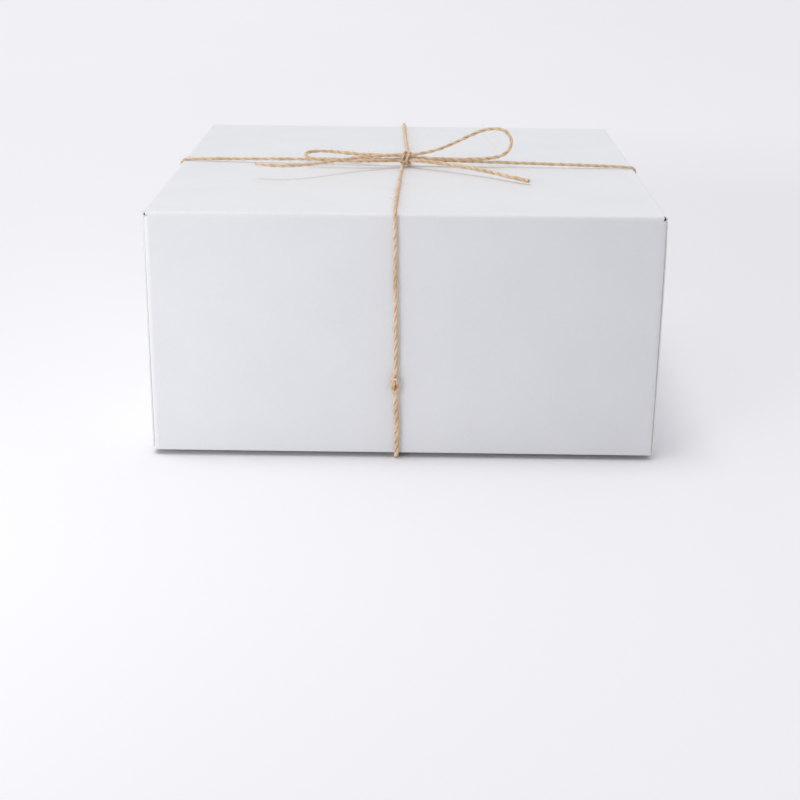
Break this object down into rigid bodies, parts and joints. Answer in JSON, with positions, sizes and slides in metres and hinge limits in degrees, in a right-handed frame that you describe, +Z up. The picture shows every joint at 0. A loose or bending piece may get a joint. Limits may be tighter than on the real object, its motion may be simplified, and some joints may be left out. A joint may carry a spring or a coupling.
{
  "type": "gift box",
  "caption": "Square white paperboard gift box with a full-depth lift-off lid over a base tray, tied crosswise with jute twine in a bow.",
  "frame": {"origin": "middle of the footprint, on the surface that the box stands on", "axes": "+Z up, +X to the right along the plain front wall, +Y to the back; the notched end walls face -X and +X"},
  "size_m": [0.2066, 0.2058, 0.1185],
  "materials": {
    "white_board": "smooth matte coated white board",
    "jute": "hairy two-ply natural twine"
  },
  "bodies": {
    "base": {"base_floor_panel": "white_board", "base_front_wall": "white_board", "base_back_wall": "white_board", "base_left_end_panel": "white_board", "base_right_end_panel": "white_board", "base_left_front_gusset": "white_board", "base_left_back_gusset": "white_board", "base_right_front_gusset": "white_board", "base_right_back_gusset": "white_board", "base_front_left_flap": "white_board", "base_back_left_flap": "white_board", "base_front_right_flap": "white_board", "base_back_right_flap": "white_board", "twine_under_along": "jute", "twine_under_across": "jute"},
    "lid": {"lid_top_panel": "white_board", "lid_front_wall": "white_board", "lid_back_wall": "white_board", "lid_left_end_panel": "white_board", "lid_right_end_panel": "white_board", "lid_left_front_gusset": "white_board", "lid_left_back_gusset": "white_board", "lid_right_front_gusset": "white_board", "lid_right_back_gusset": "white_board", "lid_front_left_flap": "white_board", "lid_back_left_flap": "white_board", "lid_front_right_flap": "white_board", "lid_back_right_flap": "white_board"},
    "twine_wrap": {"twine_front": "jute", "twine_back": "jute", "twine_left": "jute", "twine_right": "jute", "front_knot": "jute", "bow_knot": "jute", "bow_loop_left": "jute", "bow_loop_right": "jute", "bow_tail_left": "jute", "bow_tail_right": "jute"}
  },
  "joints": [
    {"name": "lid_lift", "type": "slide", "parent": "base", "child": "lid", "axis": [0, 0, 1], "range_m": [0, 0.12]},
    {"name": "twine_lift", "type": "slide", "parent": "lid", "child": "twine_wrap", "axis": [0, 0, 1], "range_m": [0, 0.12]}
  ]
}
